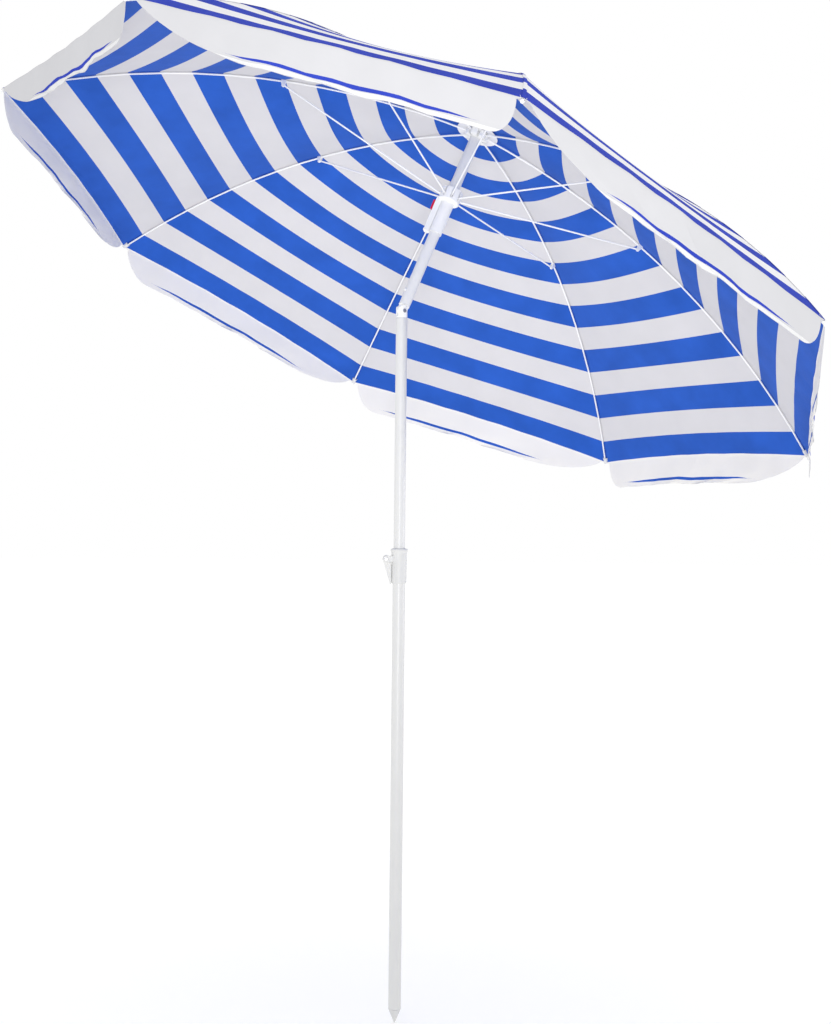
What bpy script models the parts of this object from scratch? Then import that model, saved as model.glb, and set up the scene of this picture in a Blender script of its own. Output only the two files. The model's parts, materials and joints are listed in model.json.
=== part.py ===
"""A striped beach umbrella with a two-part pole, a height clamp, a tilt joint and eight folding ribs.

Origin at the spike's point, +Z up the pole, canopy leaning toward +Y. Metres.
"""

import math

import bmesh
import bpy
import numpy as np
from mathutils import Matrix, Vector

# Poles
LOWER_R = 0.0125
LOWER_BORE = 0.0117
INNER_R = 0.0110
INNER_BORE = 0.0102
GAP = 0.0003
LOWER_TOP = 0.888
MIDDLE_BOTTOM = 0.600
MIDDLE_TOP = 1.371

# Tilt joint
HINGE_Z = 1.384
TILT = math.radians(25)
UPPER_START = 0.013
SNAP_Z = 0.042

# Hub, runner and clamp
HUB_Z = 0.402
RING_R = 0.0165
RUNNER_Z = -0.147
SLOT = 0.0046
SIDE_AZIMUTH = math.radians(225)
CLAMP_AZIMUTH = math.radians(239.1)
PIN_R, PIN_Z = 0.0250, 0.902

# Ribs and canopy
RIBS = 8
FIRST_RIB = math.radians(22.5)
STEP = 2 * math.pi / RIBS
RIB_LENGTH = 0.9285
RIM = 0.9230
SLOPE_HUB = math.radians(3.1)
SLOPE_TIP = math.radians(39.3)
BEND = (SLOPE_TIP - SLOPE_HUB) / 0.9215
RIB_R = 0.0018
JOINT_S = 0.3815
JOINT_DROP = 0.008
CLOTH = 0.0008
VALANCE = 0.062
VALANCE_END = 0.0100

COLOURS = {
    "pole_paint": (0.86, 0.86, 0.88),
    "white_plastic": (0.88, 0.88, 0.89),
    "red_plastic": (0.60, 0.01, 0.04),
    "steel": (0.42, 0.42, 0.44),
    "rib_paint": (0.84, 0.85, 0.88),
    "striped_fabric": (0.05, 0.13, 0.60),
    "white_fabric": (0.80, 0.80, 0.84),
}

for old in list(bpy.data.objects):
    bpy.data.objects.remove(old)


def material(name):
    """The Principled material of one colour name, made once."""
    if name in bpy.data.materials:
        return bpy.data.materials[name]
    made = bpy.data.materials.new(name)
    made.use_nodes = True
    shader = made.node_tree.nodes["Principled BSDF"]
    shader.inputs["Base Color"].default_value = (*COLOURS[name], 1)
    shader.inputs["Metallic"].default_value = 1.0 if name == "steel" else 0.0
    shader.inputs["Roughness"].default_value = 0.85 if "fabric" in name else 0.35
    return made


def empty(name, location, parent=None, rotation=(0, 0, 0)):
    made = bpy.data.objects.new(name, None)
    bpy.context.scene.collection.objects.link(made)
    made.parent = parent
    made.location = location
    made.rotation_euler = rotation
    return made


def add(name, bm, paint="white_plastic"):
    """An object holding the bmesh, with its faces turned outward."""
    bmesh.ops.recalc_face_normals(bm, faces=bm.faces)
    mesh = bpy.data.meshes.new(name)
    bm.to_mesh(mesh)
    bm.free()
    made = bpy.data.objects.new(name, mesh)
    bpy.context.scene.collection.objects.link(made)
    mesh.materials.append(material(paint))
    return made


def settle(made):
    """Replaces the object's mesh by the one its modifiers make."""
    bpy.context.view_layer.update()
    graph = bpy.context.evaluated_depsgraph_get()
    mesh = bpy.data.meshes.new_from_object(made.evaluated_get(graph))
    made.modifiers.clear()
    made.data = mesh
    return made


def lathe(name, outline, paint="white_plastic", steps=32):
    """A turned piece: the (r, z) outline, its outer side from top to bottom, swept round Z."""
    bm = bmesh.new()
    points = [bm.verts.new((r, 0, z)) for r, z in outline]
    hollow = outline[0][0] > 0
    pairs = list(zip(points, points[1:]))
    if hollow:
        pairs.append((points[-1], points[0]))
    for pair in pairs:
        bm.edges.new(pair)
    mesh = bpy.data.meshes.new(name)
    bm.to_mesh(mesh)
    bm.free()
    made = bpy.data.objects.new(name, mesh)
    bpy.context.scene.collection.objects.link(made)
    mesh.materials.append(material(paint))
    screw = made.modifiers.new("turn", "SCREW")
    screw.axis = "Z"
    screw.steps = screw.render_steps = steps
    screw.use_merge_vertices = True
    screw.merge_threshold = 0.00001
    settle(made)
    bm = bmesh.new()
    bm.from_mesh(made.data)
    bmesh.ops.recalc_face_normals(bm, faces=bm.faces)
    bm.to_mesh(made.data)
    bm.free()
    return made


def prism(name, outline, low, high, frame=None, paint="white_plastic"):
    """The (x, z) outline pushed along Y from low to high, then placed by the frame matrix."""
    bm = bmesh.new()
    rings = [[bm.verts.new((x, y, z)) for x, z in outline] for y in (low, high)]
    bm.faces.new(rings[0])
    bm.faces.new(rings[1][::-1])
    for i in range(len(outline)):
        j = (i + 1) % len(outline)
        bm.faces.new((rings[0][i], rings[0][j], rings[1][j], rings[1][i]))
    if frame is not None:
        bm.transform(frame)
    return add(name, bm, paint)


def box(name, low, high, frame=None, paint="white_plastic"):
    outline = [(low[0], low[2]), (high[0], low[2]), (high[0], high[2]), (low[0], high[2])]
    return prism(name, outline, low[1], high[1], frame, paint)


def rod(name, start, end, radius, steps=16, paint="steel", far_radius=None):
    """A round bar, or a cone, between two points."""
    start, end = Vector(start), Vector(end)
    bm = bmesh.new()
    far = radius if far_radius is None else far_radius
    bmesh.ops.create_cone(
        bm, cap_ends=True, segments=steps, radius1=radius, radius2=far, depth=(end - start).length
    )
    turn = Vector((0, 0, 1)).rotation_difference(end - start).to_matrix().to_4x4()
    bm.transform(Matrix.Translation((start + end) / 2) @ turn)
    return add(name, bm, paint)


def torus(name, radius, minor, z, steps=32, around=8, paint="steel"):
    outline = [
        (radius + minor * math.cos(a), z - minor * math.sin(a))
        for a in (2 * math.pi * i / around for i in range(around))
    ]
    return lathe(name, outline, paint, steps)


def wire(name, points, radius, sides=2, paint="rib_paint"):
    """A round wire along the points, with closed ends."""
    curve = bpy.data.curves.new(name, "CURVE")
    curve.dimensions = "3D"
    curve.bevel_depth = radius
    curve.bevel_resolution = sides
    curve.use_fill_caps = True
    spline = curve.splines.new("POLY")
    spline.points.add(len(points) - 1)
    for point, place in zip(spline.points, points):
        point.co = (*place, 1)
    holder = bpy.data.objects.new(name, curve)
    bpy.context.scene.collection.objects.link(holder)
    bpy.context.view_layer.update()
    graph = bpy.context.evaluated_depsgraph_get()
    mesh = bpy.data.meshes.new_from_object(holder.evaluated_get(graph))
    bpy.data.objects.remove(holder)
    bm = bmesh.new()
    bm.from_mesh(mesh)
    bmesh.ops.remove_doubles(bm, verts=bm.verts, dist=0.000002)
    bpy.data.meshes.remove(mesh)
    return add(name, bm, paint)


def volume(made):
    bm = bmesh.new()
    bm.from_mesh(made.data)
    size = bm.calc_volume()
    bm.free()
    return size


def combine(body, others, operation):
    """Cuts or joins the other solids, then drops them."""
    for other in others:
        before = volume(body)
        modifier = body.modifiers.new(operation.lower(), "BOOLEAN")
        modifier.operation = operation
        modifier.solver = "EXACT"
        modifier.object = other
        settle(body)
        assert abs(volume(body) - before) > 1e-12, f"{other.name} changes nothing in {body.name}"
        bpy.data.objects.remove(other)
    return body


def cut(body, *others):
    return combine(body, others, "DIFFERENCE")


def join(body, *others):
    return combine(body, others, "UNION")


def tube(name, radius, bore, low, high, paint="pole_paint"):
    return lathe(name, [(radius, high), (radius, low), (bore, low), (bore, high)], paint, 40)


def coil(name, start, end, radius, minor, turns):
    """A small compression spring between two points."""
    start, end = Vector(start), Vector(end)
    frame = Vector((0, 0, 1)).rotation_difference(end - start).to_matrix()
    count = int(turns * 10)
    points = []
    for i in range(count + 1):
        angle = 2 * math.pi * turns * i / count
        local = Vector((radius * math.cos(angle), radius * math.sin(angle), 0))
        points.append(start + (end - start) * (i / count) + frame @ local)
    return wire(name, points, minor, 1, "steel")


def turned(angle, x=0, y=0, z=0):
    """A frame at the point, its X axis turned to the azimuth."""
    return Matrix.Rotation(angle, 4, "Z") @ Matrix.Translation((x, y, z))


def polar(angle, radius, z, side=0):
    return (
        radius * math.cos(angle) - side * math.sin(angle),
        radius * math.sin(angle) + side * math.cos(angle),
        z,
    )


def place(made, parent, origin=(0, 0, 0)):
    """Hangs the piece on its parent, with its own origin at the given point of the parent."""
    made.data.transform(Matrix.Translation(-Vector(origin)))
    made.parent = parent
    made.location = origin
    return made


def rib_point(s, above=0.0):
    """(r, z) on a rib's centre line, s along it from the hub pivot, raised square to it."""
    slope = SLOPE_HUB + BEND * max(s, 0)
    if s < 0:
        r, z = s * math.cos(SLOPE_HUB), -s * math.sin(SLOPE_HUB)
    else:
        r = (math.sin(slope) - math.sin(SLOPE_HUB)) / BEND
        z = -(math.cos(SLOPE_HUB) - math.cos(slope)) / BEND
    return RING_R + r + above * math.sin(slope), z + above * math.cos(slope)


# ---------------------------------------------------------------- lower pole and clamp
place(
    lathe(
        "ground_spike",
        [(0, 0.060), (0.0114, 0.060), (0.0114, 0.0272), (0.0123, 0.0272), (0.0012, 0.0006), (0, 0)],
        steps=40,
    ),
    None,
)
place(tube("lower_pole", LOWER_R, LOWER_BORE, 0.0275, LOWER_TOP), None)

clamp = empty("clamp_azimuth", (0, 0, 0), rotation=(0, 0, CLAMP_AZIMUTH))
collar = lathe(
    "clamp_collar",
    [
        (0.0125, 0.9225),
        (0.0162, 0.9210),
        (0.0168, 0.9190),
        (0.0148, 0.9140),
        (0.0148, 0.8570),
        (0.0140, 0.8545),
        (LOWER_R + GAP, 0.8545),
        (LOWER_R + GAP, LOWER_TOP + GAP),
        (INNER_R + GAP, LOWER_TOP + GAP),
        (INNER_R + GAP, 0.9225),
    ],
    steps=48,
)


def rounded(centre, radius, first, last, count=10):
    """Points of an arc, in degrees, first to last."""
    angles = np.radians(np.linspace(first, last, count))
    return [(centre[0] + radius * math.cos(a), centre[1] + radius * math.sin(a)) for a in angles]


ear = [(0.0105, PIN_Z - 0.0055), *rounded((PIN_R, PIN_Z), 0.0055, -90, 90), (0.0105, PIN_Z + 0.0055)]
join(collar, prism("ear_a", ear, 0.0064, 0.0094), prism("ear_b", ear, -0.0094, -0.0064))
cut(
    collar,
    rod("pin_hole", (PIN_R, -0.012, PIN_Z), (PIN_R, 0.012, PIN_Z), 0.0023),
    box("window", (0.005, -0.0043, PIN_Z - 0.0063), (0.018, 0.0043, PIN_Z + 0.0063)),
)
place(collar, clamp)
place(
    box("clamp_pad", (0.0116, -0.0040, PIN_Z - 0.0060), (0.0173, 0.0040, PIN_Z + 0.0060)), clamp
)
place(
    join(
        rod("clamp_pin", (PIN_R, -0.0112, PIN_Z), (PIN_R, 0.0112, PIN_Z), 0.0020),
        rod("head_a", (PIN_R, 0.0098, PIN_Z), (PIN_R, 0.0114, PIN_Z), 0.0032),
        rod("head_b", (PIN_R, -0.0114, PIN_Z), (PIN_R, -0.0098, PIN_Z), 0.0032),
    ),
    clamp,
    (PIN_R, 0, PIN_Z),
)
lever_outline = [
    (0.0180, 0.8975),
    (0.0154, 0.8890),
    (0.0154, 0.8560),
    (0.0162, 0.8535),
    (0.0178, 0.8535),
    (0.0186, 0.8552),
    *rounded((PIN_R, PIN_Z), 0.0073, -22, 180, 16),
]
lever = prism("clamp_lever", lever_outline, -0.0060, 0.0060)
bevel = lever.modifiers.new("soft", "BEVEL")
bevel.width = 0.0006
bevel.segments = 2
bevel.limit_method = "ANGLE"
bevel.angle_limit = math.radians(40)
settle(lever)
cut(lever, rod("pin_hole", (PIN_R, -0.02, PIN_Z), (PIN_R, 0.02, PIN_Z), 0.0023))
place(lever, clamp, (PIN_R, 0, PIN_Z))

# ---------------------------------------------------------------- middle pole and tilt fork
place(tube("middle_pole", INNER_R, INNER_BORE, MIDDLE_BOTTOM, MIDDLE_TOP), None)
place(
    lathe(
        "glide_bush",
        [
            (0.0099, MIDDLE_BOTTOM + 0.015),
            (0.0099, MIDDLE_BOTTOM - GAP),
            (LOWER_BORE - GAP, MIDDLE_BOTTOM - GAP),
            (LOWER_BORE - GAP, MIDDLE_BOTTOM - 0.010),
            (0.0080, MIDDLE_BOTTOM - 0.010),
            (0.0080, MIDDLE_BOTTOM + 0.015),
        ],
    ),
    None,
)
fork = lathe(
    "tilt_fork",
    [
        (0, HINGE_Z + 0.012),
        (INNER_R, HINGE_Z + 0.012),
        (INNER_R, MIDDLE_TOP + GAP),
        (0.0099, MIDDLE_TOP + GAP),
        (0.0099, MIDDLE_TOP - 0.036),
        (0, MIDDLE_TOP - 0.036),
    ],
    steps=40,
)
along_x = Matrix.Rotation(math.radians(-90), 4, "Z")
cheek = [
    (0.012, MIDDLE_TOP - 0.050),
    *rounded((0, HINGE_Z), 0.0110, 0, 180, 17),
    (-0.012, MIDDLE_TOP - 0.050),
]
combine(fork, [prism("cheek_shape", cheek, -0.02, 0.02, along_x)], "INTERSECT")
slot_low = (-0.0044, -0.02, HINGE_Z - 0.0096)
cut(
    fork,
    box("tongue_slot", slot_low, (0.0044, 0.02, HINGE_Z + 0.02)),
    rod("pin_hole", (-0.02, 0, HINGE_Z), (0.02, 0, HINGE_Z), 0.0025),
)
place(fork, None)
place(
    join(
        rod("tilt_pin", (-0.0118, 0, HINGE_Z), (0.0118, 0, HINGE_Z), 0.0022),
        rod("head_a", (0.0113, 0, HINGE_Z), (0.0128, 0, HINGE_Z), 0.0040, far_radius=0.0032),
        rod("head_b", (-0.0113, 0, HINGE_Z), (-0.0128, 0, HINGE_Z), 0.0040, far_radius=0.0032),
    ),
    None,
    (0, 0, HINGE_Z),
)

# ---------------------------------------------------------------- tilting upper pole
top = empty("tilt_axis", (0, 0, HINGE_Z), rotation=(-TILT, 0, 0))
tongue = lathe(
    "tilt_tongue",
    [
        (0, 0.058),
        (0.0094, 0.058),
        (0.0099, 0.0574),
        (0.0099, 0.0128),
        (INNER_R, 0.0127),
        (INNER_R, 0.0114),
        (0, 0.0114),
    ],
    steps=40,
)
blade = [(0.0090, 0.0118), *rounded((0, 0), 0.0090, 0, -180, 17), (-0.0090, 0.0118)]
join(tongue, prism("blade", blade, -0.0040, 0.0040, along_x))
cut(
    tongue,
    rod("pin_hole", (-0.02, 0, 0), (0.02, 0, 0), 0.0025),
    rod("snap_bore", (0, -0.02, SNAP_Z), (0, 0.005, SNAP_Z), 0.0048, 24),
)
place(tongue, top)

upper = tube("upper_pole", INNER_R, INNER_BORE, UPPER_START, HUB_Z + 0.0052)
hub_pin_z = HUB_Z - 0.1280
cut(
    upper,
    rod("snap_hole", (0, -0.02, SNAP_Z), (0, 0, SNAP_Z), 0.0035, 24),
    rod("stop_hole", (-0.02, 0, hub_pin_z), (0.02, 0, hub_pin_z), 0.0016),
)
place(upper, top)
place(
    rod("runner_stop_pin", (-0.0136, 0, hub_pin_z), (0.0136, 0, hub_pin_z), 0.00125, 12),
    top,
    (0, 0, hub_pin_z),
)
snap = join(
    rod("snap_button", (0, -0.0042, SNAP_Z), (0, -0.0088, SNAP_Z), 0.0045, 24, "white_plastic"),
    rod("stem", (0, -0.0080, SNAP_Z), (0, -0.0124, SNAP_Z), 0.0032, 24, "white_plastic"),
    rod("dome", (0, -0.0122, SNAP_Z), (0, -0.0132, SNAP_Z), 0.00318, 24, "white_plastic", 0.0018),
)
place(snap, top, (0, 0, SNAP_Z))
place(
    coil("snap_button_spring", (0, 0.0043, SNAP_Z), (0, -0.0036, SNAP_Z), 0.0030, 0.0003, 4), top
)

hub = empty("hub", (0, 0, HUB_Z), top)


def ringed_crown(name, outline, slot_from, low, high):
    """A plastic crown with a slot for each rib and a channel for the ring wire."""
    crown = lathe(name, outline, steps=40)
    middle = 0.0 if name == "hub_crown" else RUNNER_Z
    for k in range(RIBS):
        angle = FIRST_RIB + k * STEP
        half = SLOT / 2
        cut(crown, box("slot", (slot_from, -half, low), (0.03, half, high), turned(angle)))
    return cut(crown, torus("channel", RING_R, 0.0013, middle, 40))


place(
    ringed_crown(
        "hub_crown",
        [
            (0.0215, 0.0052),
            (0.0240, 0.0038),
            (0.0240, -0.0080),
            (0.0225, -0.0100),
            (INNER_R + GAP, -0.0100),
            (INNER_R + GAP, 0.0052),
        ],
        0.0132,
        -0.02,
        0.0034,
    ),
    hub,
)
place(torus("hub_ring_wire", RING_R, 0.0010, 0, 32), hub)
plug_outline = [(0.0099, 0.0048), (0.0099, -0.014), (0.0048, -0.014), (0.0048, 0.0048)]
place(lathe("pole_top_plug", plug_outline), hub)
place(
    lathe(
        "top_cap",
        [
            (0, 0.0172),
            (0.0060, 0.0168),
            (0.0120, 0.0152),
            (0.0165, 0.0126),
            (0.0190, 0.0094),
            (0.0184, 0.0092),
            (0.0045, 0.0092),
            (0.0045, -0.0120),
            (0, -0.0120),
        ],
    ),
    hub,
)
patch_outline = [
    (0.0080, 0.0063),
    (0.0225, 0.0062),
    (0.0430, 0.0026),
    (0.0430, 0.0018),
    (0.0225, 0.0054),
    (0.0080, 0.0055),
]
place(lathe("apex_patch", patch_outline, "white_fabric", 48), hub)

# ---------------------------------------------------------------- runner
runner = ringed_crown(
    "runner",
    [
        (0.0205, -0.1300),
        (0.0215, -0.1310),
        (0.0215, -0.1560),
        (0.0195, -0.1580),
        (0.0130, -0.1590),
        (0.0130, -0.2280),
        (INNER_R + GAP, -0.2280),
        (INNER_R + GAP, -0.1300),
    ],
    0.0132,
    -0.1522,
    -0.12,
)
housing = [
    (0.0120, -0.1545),
    (0.0235, -0.1545),
    (0.0235, -0.2230),
    (0.0245, -0.2262),
    (0.0245, -0.2280),
    (0.0120, -0.2280),
]
join(runner, prism("housing", housing, -0.0065, 0.0065, turned(SIDE_AZIMUTH)))
cut(
    runner,
    box("spring_bay", (0.0142, -0.0046, -0.1824), (0.0217, 0.0046, -0.1576), turned(SIDE_AZIMUTH)),
    box("window", (0.0210, -0.0037, -0.1805), (0.0250, 0.0037, -0.1595), turned(SIDE_AZIMUTH)),
)
place(runner, hub)
place(torus("runner_ring_wire", RING_R, 0.0010, RUNNER_Z, 32), hub)
button = join(
    box(
        "runner_button",
        (0.0190, -0.0042, -0.1820),
        (0.0213, 0.0042, -0.1580),
        turned(SIDE_AZIMUTH),
        "red_plastic",
    ),
    prism(
        "stem",
        [
            (0.0205, -0.1802),
            (0.0285, -0.1802),
            (0.0290, -0.1795),
            (0.0290, -0.1605),
            (0.0285, -0.1598),
            (0.0205, -0.1598),
        ],
        -0.0033,
        0.0033,
        turned(SIDE_AZIMUTH),
        "red_plastic",
    ),
)
place(button, hub, polar(SIDE_AZIMUTH, 0.0190, -0.170))
spring_ends = [polar(SIDE_AZIMUTH, r, -0.170) for r in (0.0148, 0.0184)]
place(coil("runner_button_spring", *spring_ends, 0.0032, 0.0003, 2.5), hub)

# ---------------------------------------------------------------- ribs and stretchers
joint_r, joint_z = rib_point(JOINT_S, -JOINT_DROP)
reach = math.hypot(joint_r - RING_R, joint_z - RUNNER_Z)
lift = math.atan2(joint_z - RUNNER_Z, joint_r - RING_R)


def eye(name, x, z, hole, outer):
    """A flat ring standing in the rib's plane, with its hole across it."""
    ring = rod(name, (x, -0.0012, z), (x, 0.0012, z), outer, 20, "rib_paint")
    return ring, rod("eye_hole", (x, -0.01, z), (x, 0.01, z), hole, 16)


def rib_mesh():
    """One rib with its hub eye and stretcher bracket, along +X from the hub axis."""
    stops = np.concatenate([[0.0022], np.linspace(0.05, RIB_LENGTH, 15)])
    line = [(r, 0, z) for r, z in (rib_point(s) for s in stops)]
    rib = wire("rib", line, RIB_R, 1)
    ring, hole = eye("eye", RING_R, 0, 0.0016, 0.0031)
    join(rib, ring)
    cut(rib, hole)
    slope = SLOPE_HUB + BEND * JOINT_S
    middle = rib_point(JOINT_S)
    frame = Matrix.Translation((middle[0], 0, middle[1])) @ Matrix.Rotation(slope, 4, "Y")
    drop = JOINT_DROP
    side = [
        (-0.0050, 0.0020),
        (-0.0050, -0.0020),
        *rounded((0, -drop), 0.0026, 200, 340, 9),
        (0.0050, -0.0020),
        (0.0050, 0.0020),
    ]
    join(rib, prism("bracket", side, -0.0029, 0.0029, frame, "white_plastic"))
    cut(rib, box("throat", (-0.01, -0.0018, -0.02), (0.01, 0.0018, -0.0024), frame))
    pin_ends = [frame @ Vector((0, y, -drop)) for y in (-0.0025, 0.0025)]
    return join(rib, rod("pin", *pin_ends, 0.0009, 10))


def stretcher_mesh():
    """One stretcher with an eye at each end, along +X from the hub axis."""
    start = Vector((RING_R, 0, RUNNER_Z))
    along = Vector((math.cos(lift), 0, math.sin(lift)))
    line = [start + along * d for d in (0.0022, reach / 2, reach - 0.0033)]
    bar = wire("stretcher", line, 0.0016, 1)
    inner, inner_hole = eye("inner_eye", RING_R, RUNNER_Z, 0.0016, 0.0031)
    outer, outer_hole = eye("outer_eye", joint_r, joint_z, 0.0026, 0.0041)
    join(bar, inner, outer)
    return cut(bar, inner_hole, outer_hole)


def tip_mesh():
    """The plastic cap on a rib's outer end."""
    tail = RIB_LENGTH - 0.0050
    made = lathe(
        "tip",
        [
            (0, 0.0092),
            (0.0016, 0.0090),
            (0.0028, 0.0081),
            (0.0032, 0.0066),
            (0.0029, 0.0050),
            (0.0029, 0.0),
            (RIB_R + 0.0004, 0.0),
            (RIB_R + 0.0004, 0.0055),
            (0, 0.0055),
        ],
        steps=12,
    )
    slope = SLOPE_HUB + BEND * RIB_LENGTH
    r, z = rib_point(tail)
    made.data.transform(
        Matrix.Translation((r, 0, z)) @ Matrix.Rotation(slope + math.pi / 2, 4, "Y")
    )
    return made


def spread(source, label, origin):
    """Eight copies of a piece, each turned about the hub to its rib."""
    for k in range(RIBS):
        angle = FIRST_RIB + k * STEP
        copy = bpy.data.objects.new(f"{label}_{k + 1}", source.data.copy())
        bpy.context.scene.collection.objects.link(copy)
        copy.data.transform(Matrix.Translation(-Vector(origin)))
        copy.parent = hub
        copy.location = Matrix.Rotation(angle, 3, "Z") @ Vector(origin)
        copy.rotation_euler = (0, 0, angle)
    bpy.data.objects.remove(source)


tip_r, tip_z = rib_point(RIB_LENGTH)
spread(rib_mesh(), "rib", (RING_R, 0, 0))
spread(stretcher_mesh(), "stretcher", (RING_R, 0, RUNNER_Z))
spread(tip_mesh(), "rib_tip", (tip_r, 0, tip_z))

# ---------------------------------------------------------------- canopy
ACROSS = 6
STRIPES = 15


def seam_point(s):
    """(r, z) of the cloth's underside on the line over a rib."""
    share = min(max(s, 0) / 0.15, 1)
    ease = share * share * (3 - 2 * share)
    return rib_point(s, 0.0074 - 0.0041 * ease)


def cloth_point(s, t):
    """A point of a panel's underside: s along the rib, t from 0 to 1 between its two ribs."""
    u = min(max(s / RIM, 0), 1)
    hump = 4 * t * (1 - t) * min(max(s, 0) / 0.12, 1)
    shift = -0.0120 * max((u - 0.55) / 0.45, 0) ** 1.1 * hump
    sag = 0.014 * math.sin(math.pi * min(u, 0.999)) ** 0.7 * hump
    r, z = seam_point(s + shift)
    slope = SLOPE_HUB + BEND * max(s + shift, 0)
    r, z = r - sag * math.sin(slope), z - sag * math.cos(slope)
    side = 2 * r * math.sin(STEP / 2) * (t - 0.5)
    middle = r * math.cos(STEP / 2)
    return Vector((middle, side, z))


def flap_ends(depth):
    """How far a valance flap's first and last edge stand back from its corners."""
    share = min(depth / VALANCE, 1)
    curve = 1 - math.sqrt(1 - share**2)
    start = VALANCE_END * min(depth / 0.004, 1)
    return start + 0.055 * share + 0.150 * curve, start + 0.045 * curve


def canopy_mesh(angle):
    """The gore centred on an angle, turned to +X, its valance hanging straight down."""
    down = Matrix.Rotation(-angle, 3, "Z") @ Vector((0, math.sin(TILT), -math.cos(TILT)))
    rows = [-0.0083, 0.0120, 0.0320] + [RIM * k / STRIPES for k in range(1, STRIPES + 1)]
    bm = bmesh.new()
    grid = []
    for s in rows:
        width = (cloth_point(s, 1) - cloth_point(s, 0)).length
        inset = 0.00035 / width
        steps = [inset + (1 - 2 * inset) * i / ACROSS for i in range(ACROSS + 1)]
        grid.append([cloth_point(s, t) for t in steps])
    width = (cloth_point(RIM, 1) - cloth_point(RIM, 0)).length
    for depth in (0.003, 0.010, 0.024, 0.038, 0.048, 0.055, 0.060, VALANCE):
        first, last = (inset / width for inset in flap_ends(depth))
        steps = [first + (1 - first - last) * i / ACROSS for i in range(ACROSS + 1)]
        out = Vector((0.0006, 0, 0))
        grid.append([cloth_point(RIM, t) + out + down * depth for t in steps])
    verts = [[bm.verts.new(point) for point in row] for row in grid]
    for a, b in zip(verts, verts[1:]):
        for i in range(ACROSS):
            bm.faces.new((a[i], b[i], b[i + 1], a[i + 1]))
    made = add("canopy", bm, "striped_fabric")
    if made.data.polygons[ACROSS * 5].normal.z < 0:
        made.data.flip_normals()
    solid = made.modifiers.new("thick", "SOLIDIFY")
    solid.thickness = CLOTH
    solid.offset = 1
    solid.use_even_offset = True
    return settle(made)


for k in range(RIBS):
    angle = FIRST_RIB + (k + 0.5) * STEP
    panel = canopy_mesh(angle)
    panel.name = f"canopy_panel_{k + 1}"
    panel.parent = hub
    panel.rotation_euler = (0, 0, angle)

for made in bpy.context.scene.objects:
    if made.type == "MESH":
        made.data.shade_smooth()
        made.data.set_sharp_from_angle(angle=math.radians(35))
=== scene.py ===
"""Looks of the beach umbrella: striped cloth with its valance, seams and pockets, and materials for the frame."""

import json
import math

import bmesh
import bpy
from mathutils import Matrix, Vector


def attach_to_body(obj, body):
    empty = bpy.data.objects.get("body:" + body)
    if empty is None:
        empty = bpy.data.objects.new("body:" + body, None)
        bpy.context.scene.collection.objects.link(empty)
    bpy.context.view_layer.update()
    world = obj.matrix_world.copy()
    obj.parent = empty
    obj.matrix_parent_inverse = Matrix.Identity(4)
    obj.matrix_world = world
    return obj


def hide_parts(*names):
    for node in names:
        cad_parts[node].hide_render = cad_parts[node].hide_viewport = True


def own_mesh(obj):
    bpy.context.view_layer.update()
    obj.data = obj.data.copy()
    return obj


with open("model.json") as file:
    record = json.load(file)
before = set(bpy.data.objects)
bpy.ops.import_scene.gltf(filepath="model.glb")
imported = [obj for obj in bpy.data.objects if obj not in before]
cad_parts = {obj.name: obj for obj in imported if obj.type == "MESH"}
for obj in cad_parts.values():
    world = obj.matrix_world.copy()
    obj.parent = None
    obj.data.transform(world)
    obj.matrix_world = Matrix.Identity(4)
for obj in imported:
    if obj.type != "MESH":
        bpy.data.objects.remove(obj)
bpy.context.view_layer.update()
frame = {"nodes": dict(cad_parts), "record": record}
joints = {j["name"]: j for j in frame["record"]["behaviour"]["joints"]}

# ---------------------------------------------------------------- the hub's own frame
RIBS = 8
STEP = 2 * math.pi / RIBS
FIRST_RIB = STEP / 2
pivots = [Vector(joints[f"rib_{k + 1}_fold"]["pos_m"]) for k in range(RIBS)]
HUB = sum(pivots, Vector()) / RIBS
UP = -Vector(joints["runner_slide"]["axis"]).normalized()
SIDE = Vector((1, 0, 0))
BACK = UP.cross(SIDE).normalized()
TO_ROW = Matrix((SIDE, BACK, UP)).transposed().to_4x4()
TO_ROW.translation = HUB
RING_R = (pivots[0] - HUB).length

# ---------------------------------------------------------------- rib curve and cloth shape
RIM = 0.9230
SLOPE_HUB = math.radians(3.1)
BEND = math.radians(36.2) / 0.9215
INNER_S = -0.0070
STRIPES = 15
VALANCE = 0.062
VALANCE_END = 0.0100
LINE_DEPTH = 0.0512
LINE_HALF = 0.0031
HEM = 0.0062
CLOTH = 0.0007
HEM_THICK = 0.0005
POCKET_THICK = 0.0006
SEAM_GAP = 0.00012
HALF_COLUMNS = 14
ROWS_PER_STRIPE = 4
FIRST_STRIPE = 0.0195
STRIPE_PITCH = 0.0607
STRIPE_EASE = 0.005
STRIPE_ENDS = [
    FIRST_STRIPE + STRIPE_PITCH * k - STRIPE_EASE * math.sin(math.pi * k / STRIPES)
    for k in range(1, STRIPES)
]
STRIPE_ENDS.append(RIM)


def panel_spin(k):
    """Direction of panel k's middle line round the hub."""
    return FIRST_RIB + (k + 0.5) * STEP


def half_columns():
    """Even positions across half a panel, from its seam at 0 to its middle line at 0.5."""
    return [0.5 * i / HALF_COLUMNS for i in range(HALF_COLUMNS + 1)]


def rib_point(s, above=0.0):
    """(r, z) on a rib's centre line, s along it from the hub pivot, raised square to it."""
    slope = SLOPE_HUB + BEND * max(s, 0)
    if s < 0:
        r, z = s * math.cos(SLOPE_HUB), -s * math.sin(SLOPE_HUB)
    else:
        r = (math.sin(slope) - math.sin(SLOPE_HUB)) / BEND
        z = -(math.cos(SLOPE_HUB) - math.cos(slope)) / BEND
    return RING_R + r + above * math.sin(slope), z + above * math.cos(slope)


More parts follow.
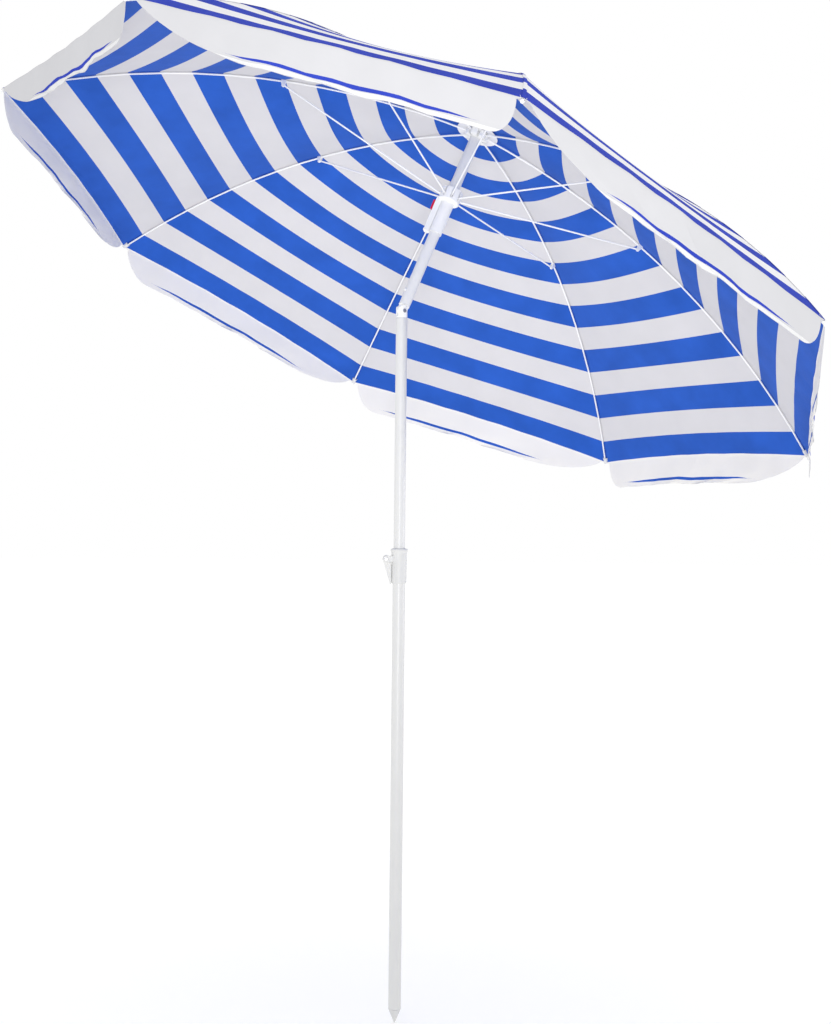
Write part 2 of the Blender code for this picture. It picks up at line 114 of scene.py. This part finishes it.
def seam_height(s):
    """How far the cloth's underside lies above a rib's centre line."""
    share = min(max(s, 0) / 0.15, 1)
    return 0.0076 - 0.0043 * share * share * (3 - 2 * share)


def puckers(s, t, k):
    """Small creases beside the seams and along the rim, zero on the seam itself."""
    edge = min(t, 1 - t)
    width = 0.70 * max(s, 0.02)
    away = edge * width
    near = math.exp(-away / 0.022) * min(away / 0.008, 1)
    seam = 0.0007 * near * math.sin(2 * math.pi * s / 0.031 + 1.3 * k + 4 * (t > 0.5))
    rim = math.exp(-max(RIM - s, 0) / 0.05) * math.sin(math.pi * t)
    hem = 0.0011 * rim * math.sin(2 * math.pi * t * 6.5 + 1.9 * k)
    slack = 0.0016 * math.sin(math.pi * t) ** 2 * math.sin(7.3 * s + 2.1 * k) * min(s / 0.3, 1)
    return (seam + hem + slack) if s > 0 else 0.0


def cloth_point(s, t, k=0, above=0.0):
    """A point of a panel in the hub's frame, its middle on +X: s along the rib, t from 0 to 1 across."""
    u = min(max(s / RIM, 0), 1)
    hump = 4 * t * (1 - t) * min(max(s, 0) / 0.12, 1)
    shift = -0.0120 * max((u - 0.55) / 0.45, 0) ** 1.1 * hump
    sag = 0.014 * math.sin(math.pi * min(u, 0.999)) ** 0.7 * hump
    along = s + shift
    r, z = rib_point(along, seam_height(along) + above + puckers(s, t, k) - sag)
    return Vector((r * math.cos(STEP / 2), 2 * r * math.sin(STEP / 2) * (t - 0.5), z))


def flap_ends(depth):
    """How far a valance flap's first and last edge stand back from its corners."""
    share = min(depth / VALANCE, 1)
    curve = 1 - math.sqrt(1 - share**2)
    start = 0.0003 + VALANCE_END * min(depth / 0.004, 1)
    return start + 0.055 * share + 0.150 * curve, start + 0.045 * curve


def valance_point(depth, t, k, above=0.0):
    """A point of the hanging edge, depth below the rim, falling straight down in the world."""
    width = (cloth_point(RIM, 1) - cloth_point(RIM, 0)).length
    first, last = (inset / width for inset in flap_ends(depth))
    at = first + (1 - first - last) * t
    down = Matrix.Rotation(-panel_spin(k), 3, "Z") @ (TO_ROW.to_3x3().transposed() @ Vector((0, 0, -1)))
    flutter = math.sin(math.pi * t) * min(depth / VALANCE, 1) ** 1.3
    wave = 0.0034 * flutter * math.sin(2 * math.pi * t * 2.5 + 1.7 * k)
    wave += 0.0012 * flutter * math.sin(2 * math.pi * t * 8.0 + 2.9 * k)
    fold = 0.0016 * (1 - math.exp(-depth / 0.002))
    return cloth_point(RIM, at, k) + Vector((fold + wave + above, 0, 0)) + down * depth


# ---------------------------------------------------------------- materials
def node_material(name, colour, roughness, metallic=0.0):
    """A Principled material and helpers to wire procedural detail into it."""
    made = bpy.data.materials.new(name)
    made.use_nodes = True
    nodes, links = made.node_tree.nodes, made.node_tree.links
    shader = nodes["Principled BSDF"]
    shader.inputs["Base Color"].default_value = (*colour, 1)
    shader.inputs["Roughness"].default_value = roughness
    shader.inputs["Metallic"].default_value = metallic
    place = nodes.new("ShaderNodeTexCoord")
    return made, nodes, links, shader, place.outputs["Object"]


def noise(nodes, links, where, scale, detail=3.0):
    made = nodes.new("ShaderNodeTexNoise")
    made.inputs["Scale"].default_value = scale
    made.inputs["Detail"].default_value = detail
    links.new(where, made.inputs["Vector"])
    return made.outputs["Fac"]


def wave(nodes, links, where, scale, direction):
    made = nodes.new("ShaderNodeTexWave")
    made.bands_direction = direction
    made.inputs["Scale"].default_value = scale
    made.inputs["Distortion"].default_value = 0.4
    links.new(where, made.inputs["Vector"])
    return made.outputs["Fac"]


def maths(nodes, links, operation, a, b):
    made = nodes.new("ShaderNodeMath")
    made.operation = operation
    for socket, value in zip(made.inputs, (a, b)):
        if isinstance(value, (int, float)):
            socket.default_value = value
        else:
            links.new(value, socket)
    return made.outputs[0]


def ramp(nodes, links, factor, stops):
    """A colour ramp over the factor, from (position, colour) stops."""
    made = nodes.new("ShaderNodeValToRGB")
    elements = made.color_ramp.elements
    while len(elements) < len(stops):
        elements.new(0.5)
    for element, (position, colour) in zip(elements, stops):
        element.position = position
        element.color = (*colour, 1)
    links.new(factor, made.inputs["Fac"])
    return made.outputs["Color"]


def bump(nodes, links, shader, height, strength, distance):
    made = nodes.new("ShaderNodeBump")
    made.inputs["Strength"].default_value = strength
    made.inputs["Distance"].default_value = distance
    links.new(height, made.inputs["Height"])
    links.new(made.outputs["Normal"], shader.inputs["Normal"])


def shade(colour, factor):
    return tuple(min(c * factor, 1) for c in colour)


def cloth(name, colour, spread=0.05, sheen=0.04):
    """Plain-weave polyester: threads as bump, faint mottling, a soft sheen."""
    made, nodes, links, shader, where = node_material(name, colour, 0.8)
    mottle = noise(nodes, links, where, 14.0, 4.0)
    stops = [(0.3, shade(colour, 1 - spread)), (0.7, shade(colour, 1 + spread))]
    links.new(ramp(nodes, links, mottle, stops), shader.inputs["Base Color"])
    shader.inputs["Sheen Weight"].default_value = sheen
    shader.inputs["Sheen Roughness"].default_value = 0.5
    shader.inputs["Specular IOR Level"].default_value = 2 * sheen
    threads = maths(
        nodes, links, "MULTIPLY",
        wave(nodes, links, where, 320.0, "X"), wave(nodes, links, where, 320.0, "Y"),
    )
    crumple = noise(nodes, links, where, 40.0, 5.0)
    height = maths(nodes, links, "ADD", maths(nodes, links, "MULTIPLY", threads, 0.25), crumple)
    bump(nodes, links, shader, height, 0.25, 0.0008)
    return made


def tape(name, colour):
    """Folded cloth of hems and pockets: fine mottling and a diagonal weave as bump."""
    made, nodes, links, shader, where = node_material(name, colour, 0.85)
    fine = noise(nodes, links, where, 900.0, 2.0)
    stops = [(0.35, shade(colour, 0.90)), (0.65, shade(colour, 1.05))]
    links.new(ramp(nodes, links, fine, stops), shader.inputs["Base Color"])
    bump(nodes, links, shader, wave(nodes, links, where, 200.0, "DIAGONAL"), 0.3, 0.0006)
    return made


def paint(name, colour, roughness=0.32):
    """Powder coat: fine orange peel, faint dirt and a few rubbed patches."""
    made, nodes, links, shader, where = node_material(name, colour, roughness)
    dirt = noise(nodes, links, where, 9.0, 6.0)
    stops = [(0.0, shade(colour, 0.93)), (0.35, shade(colour, 0.985)), (0.7, shade(colour, 1.02))]
    links.new(ramp(nodes, links, dirt, stops), shader.inputs["Base Color"])
    rub = noise(nodes, links, where, 60.0, 4.0)
    rough = maths(nodes, links, "ADD", maths(nodes, links, "MULTIPLY", rub, 0.18), roughness - 0.09)
    links.new(rough, shader.inputs["Roughness"])
    bump(nodes, links, shader, noise(nodes, links, where, 700.0, 2.0), 0.08, 0.0004)
    shader.inputs["Coat Weight"].default_value = 0.25
    shader.inputs["Coat Roughness"].default_value = 0.25
    return made


def plastic(name, colour, roughness=0.42):
    """Moulded plastic: fine spark texture and a slightly uneven gloss."""
    made, nodes, links, shader, where = node_material(name, colour, roughness)
    cloud = noise(nodes, links, where, 35.0, 3.0)
    stops = [(0.3, shade(colour, 0.96)), (0.7, shade(colour, 1.02))]
    links.new(ramp(nodes, links, cloud, stops), shader.inputs["Base Color"])
    gloss = maths(nodes, links, "ADD", maths(nodes, links, "MULTIPLY", cloud, 0.2), roughness - 0.1)
    links.new(gloss, shader.inputs["Roughness"])
    bump(nodes, links, shader, noise(nodes, links, where, 1500.0, 1.0), 0.12, 0.0002)
    shader.inputs["Subsurface Weight"].default_value = 0.05
    shader.inputs["Subsurface Radius"].default_value = (0.004, 0.004, 0.004)
    return made


def steel(name, colour):
    """Zinc-plated wire: drawn streaks and dull spots."""
    made, nodes, links, shader, where = node_material(name, colour, 0.35, 1.0)
    spots = noise(nodes, links, where, 220.0, 5.0)
    stops = [(0.25, shade(colour, 0.6)), (0.5, colour), (0.8, shade(colour, 1.25))]
    links.new(ramp(nodes, links, spots, stops), shader.inputs["Base Color"])
    rough = maths(nodes, links, "ADD", maths(nodes, links, "MULTIPLY", spots, 0.35), 0.18)
    links.new(rough, shader.inputs["Roughness"])
    bump(nodes, links, shader, wave(nodes, links, where, 500.0, "Z"), 0.1, 0.0002)
    return made


# Painted light and shade: the one blue cloth gets a separate colour for each side, matched to how bright that
# side looks. The underside copy is brighter, standing in for light through the cloth, and the outside copy is
# darker.
BLUE_UNDER_PAINTED_LIGHT = (0.022, 0.103, 0.50)
BLUE_TOP_PAINTED_SHADE = (0.034, 0.060, 0.44)
# Painted shade: the white underside is a darker copy of the white cloth, and the outside is the lighter copy.
WHITE_UNDER_PAINTED_SHADE = (0.665, 0.655, 0.675)
WHITE_TOP_PAINTED_LIGHT = (0.78, 0.78, 0.81)
# Painted light and shade on the valance: its inner side is a brighter, warmer copy of the white, standing in for
# front light and cancelling the blue bounce. Its outer side is a darker copy.
WHITE_FLAP_TOP_PAINTED_SHADE = (0.575, 0.575, 0.595)
WHITE_FLAP_PAINTED_LIGHT = (0.87, 0.85, 0.82)
look = {
    "blue_under_painted_light": cloth("cloth_blue_underside_painted_light", BLUE_UNDER_PAINTED_LIGHT, 0.10),
    "white_under_painted_shade": cloth("cloth_white_underside_painted_shade", WHITE_UNDER_PAINTED_SHADE, 0.02),
    "white_flap_painted_light": cloth("cloth_white_valance_painted_light", WHITE_FLAP_PAINTED_LIGHT, 0.02),
    "blue_top_painted_shade": cloth("cloth_blue_outside_painted_shade", BLUE_TOP_PAINTED_SHADE, 0.10, 0.01),
    "white_top_painted_light": cloth("cloth_white_outside_painted_light", WHITE_TOP_PAINTED_LIGHT, 0.02, 0.01),
    "flap_top_painted_shade": cloth("cloth_white_valance_outside_painted_shade", WHITE_FLAP_TOP_PAINTED_SHADE, 0.02, 0.01),
    "tape": tape("seam_tape_white", (0.74, 0.74, 0.75)),
}
CLOTHS = [look["blue_under_painted_light"], look["white_under_painted_shade"], look["white_flap_painted_light"]]
CLOTHS += [look["blue_top_painted_shade"], look["white_top_painted_light"], look["flap_top_painted_shade"]]
BLUE, WHITE, FLAP, OUTSIDE = 0, 1, 2, 3
finishes = {
    # Painted shade: the poles in this slot get a darker copy of the powder coat than the upper pole does, to make
    # up for the front light that falls on them.
    "pole_paint": paint("pole_powder_coat_painted_shade", (0.69, 0.69, 0.68)),
    "rib_paint": paint("rib_powder_coat", (0.92, 0.92, 0.92), 0.38),
    "white_plastic": plastic("white_moulding", (0.92, 0.92, 0.90)),
    "red_plastic": plastic("red_moulding", (0.62, 0.008, 0.035), 0.3),
    "steel": steel("zinc_plate", (0.40, 0.40, 0.42)),
    "white_fabric": cloth("cloth_white_patch", (0.84, 0.84, 0.88), 0.02),
}
# Painted light: the upper pole sits in the canopy's shade and gets a lighter copy of the same powder coat.
upper_pole_painted_light = paint("upper_pole_powder_coat_painted_light", (0.78, 0.78, 0.77))
ground_plastic = plastic("clamp_moulding", (0.68, 0.68, 0.67))
special = {"upper_pole": upper_pole_painted_light}
for name in ("clamp_collar", "clamp_lever", "clamp_pad", "ground_spike", "glide_bush"):
    special[name] = ground_plastic
slots = {p["node"]: p["material_slot"] for p in frame["record"]["subparts"]}
for name, node in frame["nodes"].items():
    finish = special.get(name, finishes.get(slots[name]))
    if finish:
        node.data.materials.clear()
        node.data.materials.append(finish)


# ---------------------------------------------------------------- cloth pieces
def sheet_object(name, rows, kinds, spin, thick=CLOTH, flip=False, materials=CLOTHS, inner=0):
    """A sheet through the rows of points, one material kind per strip, thickened outward."""
    bm = bmesh.new()
    verts = [[bm.verts.new(p) for p in row] for row in rows]
    for j, kind in enumerate(kinds):
        a, b = verts[j], verts[j + 1]
        for i in range(len(a) - 1):
            corners = (a[i], b[i], b[i + 1], a[i + 1])
            face = bm.faces.new(corners[::-1] if flip else corners)
            face.material_index = kind
            face.smooth = True
    bm.transform(TO_ROW @ Matrix.Rotation(spin, 4, "Z"))
    mesh = bpy.data.meshes.new(name)
    bm.to_mesh(mesh)
    bm.free()
    made = bpy.data.objects.new(name, mesh)
    bpy.context.scene.collection.objects.link(made)
    for each in materials:
        mesh.materials.append(each)
    solid = made.modifiers.new("thickness", "SOLIDIFY")
    solid.thickness = thick
    solid.offset = 1
    solid.material_offset = inner
    bpy.context.view_layer.update()
    graph = bpy.context.evaluated_depsgraph_get()
    made.data = bpy.data.meshes.new_from_object(made.evaluated_get(graph))
    made.modifiers.clear()
    made.data.set_sharp_from_angle(angle=math.radians(40))
    return made


def attach(piece, k, keep_width=True):
    """The piece rides on rib k and narrows with the fan as the ribs fold."""
    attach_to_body(piece, f"rib_{k + 1}")
    if keep_width:
        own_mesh(piece)


def blue_at(stripe):
    """Stripes alternate, blue at the hub and at the rim."""
    return BLUE if stripe % 2 == 0 else WHITE


def line_depth(t, share):
    """Depth of the valance's thin blue line, share 0 at its top and 1 at its foot.

    The line narrows to nothing toward the ends of the flap.
    """
    taper = max(1 - (abs(t - 0.5) / 0.40) ** 4, 0)
    return LINE_DEPTH - LINE_HALF * taper + 2 * LINE_HALF * taper * share


def gore_half(k, first):
    """Half of a panel: its columns run from one seam to the panel's middle line."""
    ts = [0.5 * (2 * t) ** 1.25 for t in half_columns()]
    if not first:
        ts = [1 - t for t in ts]
    stations = [(INNER_S, 0), (0.004, 0), (0.016, 0), (0.030, 0), (0.046, 0), (0.063, 0)]
    stations.append((STRIPE_ENDS[0], 0))
    for n in range(1, STRIPES):
        start, end = STRIPE_ENDS[n - 1], STRIPE_ENDS[n]
        for m in range(1, ROWS_PER_STRIPE + 1):
            stations.append((start + (end - start) * m / ROWS_PER_STRIPE, n))
    rows, kinds = [], []
    for n, (s, band) in enumerate(stations):
        width = (cloth_point(s, 1) - cloth_point(s, 0)).length
        gap = SEAM_GAP / width
        rows.append([cloth_point(s, gap + (1 - 2 * gap) * t, k) for t in ts])
        if n:
            kinds.append(blue_at(band))
    depths = [0.0008, 0.0020, 0.0040, 0.0070, 0.012, 0.020, 0.029, 0.036, 0.042, 0.046]
    for depth in depths:
        rows.append([valance_point(depth, t, k) for t in ts])
        kinds.append(FLAP)
    for share in (0, 1):
        rows.append([valance_point(line_depth(t, share), t, k) for t in ts])
        kinds.append(BLUE if share else FLAP)
    for share in (0.25, 0.5, 0.75, 0.92, 1.0):
        row = []
        for t in ts:
            start = line_depth(t, 1)
            row.append(valance_point(start + (VALANCE - start) * share, t, k))
        rows.append(row)
        kinds.append(FLAP)
    name = f"canopy_cloth_{k + 1}_{'a' if first else 'b'}"
    # The outer faces take the outside colours and the inner faces take the underside colours, so each side
    # carries its own painted light and shade.
    outside = [OUTSIDE + kind for kind in kinds]
    piece = sheet_object(name, rows, outside, panel_spin(k), flip=not first, inner=-OUTSIDE)
    attach(piece, k if first else (k + 1) % RIBS)
    return piece


def hem_strip(k, first):
    """The turned-up hem along the valance's lower edge, a second layer on the cloth."""
    ts = half_columns()
    if not first:
        ts = [1 - t for t in ts]
    rows = []
    for depth in (VALANCE - HEM, VALANCE - 0.0056, VALANCE - 0.003, VALANCE - 0.0002):
        lift = 0.0008 if depth > VALANCE - 0.006 else 0.00075
        rows.append([valance_point(depth, t, k, lift) for t in ts])
    name = f"valance_hem_{k + 1}_{'a' if first else 'b'}"
    piece = sheet_object(
        name, rows, [0, 0, 0], panel_spin(k), HEM_THICK, not first, [look["tape"]]
    )
    attach(piece, k if first else (k + 1) % RIBS)
    return piece


def rib_strip(name, k, start, end, half, lift, thick, materials, striped, steps=60):
    """A narrow strip that lies along a rib on the cloth."""
    rows, kinds = [], []
    for n in range(steps + 1):
        s = start + (end - start) * n / steps
        r, z = rib_point(s, seam_height(s) + lift)
        dip = 0.0006 * half / 0.004
        slope = SLOPE_HUB + BEND * max(s, 0)
        low = Vector((-dip * math.sin(slope), 0, -dip * math.cos(slope)))
        centre = Vector((r, 0, z))
        sides = (-half, -half * 0.6, 0, half * 0.6, half)
        rows.append([centre + Vector((0, w, 0)) + low * (abs(w) / half) ** 2 for w in sides])
        if n:
            middle = start + (end - start) * (n - 0.5) / steps
            band = sum(edge < middle for edge in STRIPE_ENDS)
            kinds.append(OUTSIDE + blue_at(band) if striped else 0)
    piece = sheet_object(name, rows, kinds, FIRST_RIB + k * STEP, thick, False, materials)
    attach(piece, k, False)
    return piece


def tip_pocket(k):
    """The folded fabric pocket that takes a rib's end, sewn under the corner of the cloth."""
    rows = []
    start, end = RIM - 0.013, RIM + 0.0008
    steps = 8
    for n in range(steps + 1):
        share = n / steps
        s = start + (end - start) * share
        half = 0.0044 + 0.0016 * (1 - share) ** 1.5
        row = []
        for i in range(13):
            a = math.pi * i / 12
            drop = -0.0003 - 0.0060 * math.sin(a) ** 0.8
            r, z = rib_point(s, seam_height(s) + drop)
            row.append(Vector((r, half * math.cos(a), z)))
        rows.append(row)
    piece = sheet_object(
        f"rib_pocket_{k + 1}", rows, [0] * steps, FIRST_RIB + k * STEP, POCKET_THICK, True,
        [look["tape"]],
    )
    attach(piece, k, False)
    return piece


for k in range(RIBS):
    halves = [gore_half(k, True), gore_half(k, False)]
    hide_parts(f"canopy_panel_{k + 1}")
    for first in (True, False):
        hem_strip(k, first)
    rib_strip(
        f"seam_ridge_{k + 1}", k, 0.030, RIM - 0.002, 0.0030, CLOTH + 0.0003, HEM_THICK, CLOTHS, True
    )
    tip_pocket(k)

# ---------------------------------------------------------------- stage, light and camera
VIEW = Vector((-0.858, 0.5135, 0)).normalized()
RIGHT = Vector((0.5135, 0.858, 0)).normalized()
ROLL = math.radians(0.6)
LENS = 57.72
CAMERA_PLACE = Vector((2.7562, -1.6136, 0.9936))

floor_mesh = bpy.data.meshes.new("floor")
bm = bmesh.new()
bmesh.ops.create_circle(bm, cap_ends=True, segments=64, radius=30)
bm.to_mesh(floor_mesh)
bm.free()
floor = bpy.data.objects.new("floor", floor_mesh)
floor.location.z = -0.0005
bpy.context.scene.collection.objects.link(floor)
ground, _, _, shader, _ = node_material("floor_white", (1.0, 1.0, 1.0), 1.0)
shader.inputs["Specular IOR Level"].default_value = 0.0
shader.inputs["Emission Color"].default_value = (1, 1, 1, 1)
shader.inputs["Emission Strength"].default_value = 0.11
floor_mesh.materials.append(ground)

world = bpy.data.worlds.new("studio")
world.use_nodes = True
world.node_tree.nodes["Background"].inputs["Color"].default_value = (1, 1, 1, 1)
world.node_tree.nodes["Background"].inputs["Strength"].default_value = 1.0
bpy.context.scene.world = world


def area_light(name, place, target, size, power, spread=180):
    lamp = bpy.data.lights.new(name, "AREA")
    lamp.shape = "DISK"
    lamp.size = size
    lamp.energy = power
    lamp.spread = math.radians(spread)
    made = bpy.data.objects.new(name, lamp)
    made.location = place
    made.rotation_euler = (Vector(target) - Vector(place)).to_track_quat("-Z", "Y").to_euler()
    bpy.context.scene.collection.objects.link(made)


area_light("key", (4.0, -4.5, 5.0), (0, 0, 1.2), 3.0, 12)
area_light("side", (1.5, 3.8, 1.15), (-0.3, -0.6, 1.75), 1.4, 1.6, 34)
area_light("front", (3.72, -2.25, 0.66), (0, 0.15, 1.66), 1.3, 3.2, 34)

camera = bpy.data.objects.new("camera", bpy.data.cameras.new("camera"))
bpy.context.scene.collection.objects.link(camera)
camera.data.lens = LENS
camera.data.sensor_width = 36
camera.data.clip_end = 100
tilted_right = RIGHT * math.cos(ROLL) + Vector((0, 0, math.sin(ROLL)))
tilted_up = Vector((0, 0, math.cos(ROLL))) - RIGHT * math.sin(ROLL)
pose = Matrix((tilted_right, tilted_up, -VIEW)).transposed().to_4x4()
pose.translation = CAMERA_PLACE
camera.matrix_world = pose
bpy.context.scene.camera = camera
bpy.context.scene.view_settings.view_transform = "Standard"
